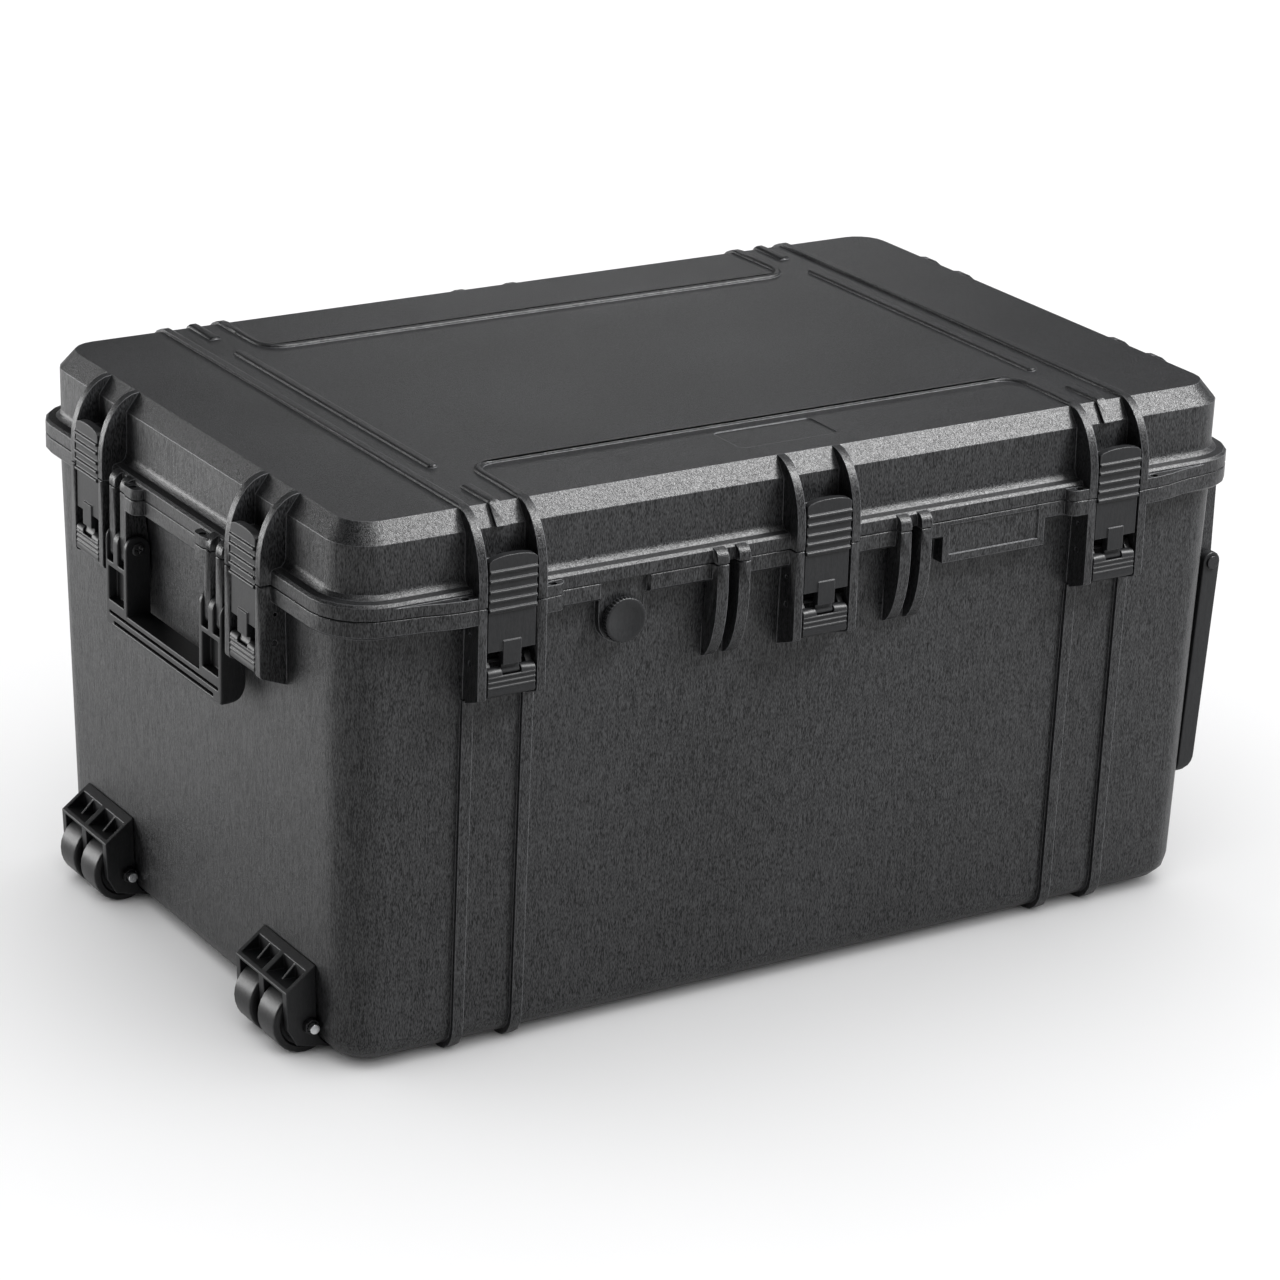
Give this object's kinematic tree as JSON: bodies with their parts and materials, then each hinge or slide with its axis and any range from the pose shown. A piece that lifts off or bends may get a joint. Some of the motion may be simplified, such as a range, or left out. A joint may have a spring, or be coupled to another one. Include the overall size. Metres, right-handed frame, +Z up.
{
  "type": "wheeled equipment case",
  "caption": "Large hard equipment case with a ribbed hinged lid, draw latches all round, side carrying handle, pull handle and corner wheels.",
  "frame": {"origin": "bottom centre of the whole case, on the floor that the skids rest on", "axes": "+X along the case's length, from the wheels towards the pull handle; -Y towards the front with three latches; +Z up"},
  "size_m": [0.8404, 0.5572, 0.4335],
  "materials": {
    "shell": "textured charcoal polypropylene",
    "trim": "smooth satin black polypropylene",
    "seal": "matt",
    "tyre": "dark grey polyurethane",
    "zinc": "zinc plated"
  },
  "bodies": {
    "base": {"base_shell": "shell", "latch_pin_front_left": "zinc", "latch_pin_front_middle": "zinc", "latch_pin_front_right": "zinc", "latch_pin_left_side_rear": "zinc", "latch_pin_left_side_front": "zinc", "latch_pin_right_side_front": "zinc", "latch_pin_right_side_rear": "zinc", "hinge_pin_left": "zinc", "hinge_pin_middle": "zinc", "hinge_pin_right": "zinc", "carry_handle_pin_front": "zinc", "carry_handle_pin_rear": "zinc", "pull_handle_pin_front": "zinc", "pull_handle_pin_rear": "zinc", "wheel_housing_front": "trim", "axle_bolt_front": "zinc", "axle_nut_front": "zinc", "wheel_housing_rear": "trim", "axle_bolt_rear": "zinc", "axle_nut_rear": "zinc", "valve_body": "trim"},
    "lid": {"lid_shell": "shell", "lid_gasket": "seal"},
    "lever_front_left": {"latch_lever_front_left": "trim", "claw_pin_front_left": "zinc"},
    "claw_front_left": {"latch_claw_front_left": "trim"},
    "lever_front_middle": {"latch_lever_front_middle": "trim", "claw_pin_front_middle": "zinc"},
    "claw_front_middle": {"latch_claw_front_middle": "trim"},
    "lever_front_right": {"latch_lever_front_right": "trim", "claw_pin_front_right": "zinc"},
    "claw_front_right": {"latch_claw_front_right": "trim"},
    "lever_left_side_rear": {"latch_lever_left_side_rear": "trim", "claw_pin_left_side_rear": "zinc"},
    "claw_left_side_rear": {"latch_claw_left_side_rear": "trim"},
    "lever_left_side_front": {"latch_lever_left_side_front": "trim", "claw_pin_left_side_front": "zinc"},
    "claw_left_side_front": {"latch_claw_left_side_front": "trim"},
    "lever_right_side_front": {"latch_lever_right_side_front": "trim", "claw_pin_right_side_front": "zinc"},
    "claw_right_side_front": {"latch_claw_right_side_front": "trim"},
    "lever_right_side_rear": {"latch_lever_right_side_rear": "trim", "claw_pin_right_side_rear": "zinc"},
    "claw_right_side_rear": {"latch_claw_right_side_rear": "trim"},
    "carry_handle": {"carry_handle": "trim"},
    "pull_handle": {"pull_handle": "trim"},
    "wheel_front_outer": {"wheel_front_outer": "tyre"},
    "wheel_front_inner": {"wheel_front_inner": "tyre"},
    "wheel_rear_outer": {"wheel_rear_outer": "tyre"},
    "wheel_rear_inner": {"wheel_rear_inner": "tyre"},
    "valve_cap": {"valve_cap": "trim"}
  },
  "joints": [
    {"name": "lid_hinge", "type": "hinge", "parent": "base", "child": "lid", "pos_m": [0, 0.2721, 0.3812], "axis": [-1, 0, 0], "range_deg": [0, 100]},
    {"name": "latch_front_left", "type": "hinge", "parent": "base", "child": "lever_front_left", "pos_m": [-0.2715, -0.2652, 0.319], "axis": [-1, 0, 0], "range_deg": [0, 60]},
    {"name": "claw_front_left", "type": "hinge", "parent": "lever_front_left", "child": "claw_front_left", "pos_m": [-0.2715, -0.2727, 0.3125], "axis": [1, 0, 0], "range_deg": [0, 84]},
    {"name": "latch_front_middle", "type": "hinge", "parent": "base", "child": "lever_front_middle", "pos_m": [0, -0.2652, 0.319], "axis": [-1, 0, 0], "range_deg": [0, 60]},
    {"name": "claw_front_middle", "type": "hinge", "parent": "lever_front_middle", "child": "claw_front_middle", "pos_m": [0, -0.2727, 0.3125], "axis": [1, 0, 0], "range_deg": [0, 84]},
    {"name": "latch_front_right", "type": "hinge", "parent": "base", "child": "lever_front_right", "pos_m": [0.2715, -0.2652, 0.319], "axis": [-1, 0, 0], "range_deg": [0, 60]},
    {"name": "claw_front_right", "type": "hinge", "parent": "lever_front_right", "child": "claw_front_right", "pos_m": [0.2715, -0.2727, 0.3125], "axis": [1, 0, 0], "range_deg": [0, 84]},
    {"name": "latch_left_side_rear", "type": "hinge", "parent": "base", "child": "lever_left_side_rear", "pos_m": [-0.405, 0.1307, 0.319], "axis": [0, 1, 0], "range_deg": [0, 60]},
    {"name": "claw_left_side_rear", "type": "hinge", "parent": "lever_left_side_rear", "child": "claw_left_side_rear", "pos_m": [-0.4125, 0.1307, 0.3125], "axis": [0, -1, 0], "range_deg": [0, 84]},
    {"name": "latch_left_side_front", "type": "hinge", "parent": "base", "child": "lever_left_side_front", "pos_m": [-0.405, -0.1363, 0.319], "axis": [0, 1, 0], "range_deg": [0, 60]},
    {"name": "claw_left_side_front", "type": "hinge", "parent": "lever_left_side_front", "child": "claw_left_side_front", "pos_m": [-0.4125, -0.1363, 0.3125], "axis": [0, -1, 0], "range_deg": [0, 84]},
    {"name": "latch_right_side_front", "type": "hinge", "parent": "base", "child": "lever_right_side_front", "pos_m": [0.405, -0.1363, 0.319], "axis": [0, -1, 0], "range_deg": [0, 60]},
    {"name": "claw_right_side_front", "type": "hinge", "parent": "lever_right_side_front", "child": "claw_right_side_front", "pos_m": [0.4125, -0.1363, 0.3125], "axis": [0, 1, 0], "range_deg": [0, 84]},
    {"name": "latch_right_side_rear", "type": "hinge", "parent": "base", "child": "lever_right_side_rear", "pos_m": [0.405, 0.1307, 0.319], "axis": [0, -1, 0], "range_deg": [0, 60]},
    {"name": "claw_right_side_rear", "type": "hinge", "parent": "lever_right_side_rear", "child": "claw_right_side_rear", "pos_m": [0.4125, 0.1307, 0.3125], "axis": [0, 1, 0], "range_deg": [0, 84]},
    {"name": "carry_handle_pivot", "type": "hinge", "parent": "base", "child": "carry_handle", "pos_m": [-0.4072, -0.0028, 0.32], "axis": [0, 1, 0], "range_deg": [0, 92]},
    {"name": "pull_handle_pivot", "type": "hinge", "parent": "base", "child": "pull_handle", "pos_m": [0.41185, -0.0028, 0.27], "axis": [0, -1, 0], "range_deg": [0, 100]},
    {"name": "wheel_front_outer_spin", "type": "hinge", "parent": "base", "child": "wheel_front_outer", "pos_m": [-0.3942, -0.1788, 0.0262], "axis": [0, 1, 0], "continuous": true},
    {"name": "wheel_front_inner_spin", "type": "hinge", "parent": "base", "child": "wheel_front_inner", "pos_m": [-0.3942, -0.1398, 0.0262], "axis": [0, 1, 0], "continuous": true},
    {"name": "wheel_rear_outer_spin", "type": "hinge", "parent": "base", "child": "wheel_rear_outer", "pos_m": [-0.3942, 0.1342, 0.0262], "axis": [0, 1, 0], "continuous": true},
    {"name": "wheel_rear_inner_spin", "type": "hinge", "parent": "base", "child": "wheel_rear_inner", "pos_m": [-0.3942, 0.1732, 0.0262], "axis": [0, 1, 0], "continuous": true},
    {"name": "valve_turn", "type": "hinge", "parent": "base", "child": "valve_cap", "pos_m": [-0.1713, -0.2622, 0.3319], "axis": [0, 1, 0], "range_deg": [0, 180]}
  ],
  "couplings": [
    {"joint": "claw_front_left", "follows": "latch_front_left", "ratio": 1.4},
    {"joint": "claw_front_middle", "follows": "latch_front_middle", "ratio": 1.4},
    {"joint": "claw_front_right", "follows": "latch_front_right", "ratio": 1.4},
    {"joint": "claw_left_side_rear", "follows": "latch_left_side_rear", "ratio": 1.4},
    {"joint": "claw_left_side_front", "follows": "latch_left_side_front", "ratio": 1.4},
    {"joint": "claw_right_side_front", "follows": "latch_right_side_front", "ratio": 1.4},
    {"joint": "claw_right_side_rear", "follows": "latch_right_side_rear", "ratio": 1.4}
  ]
}
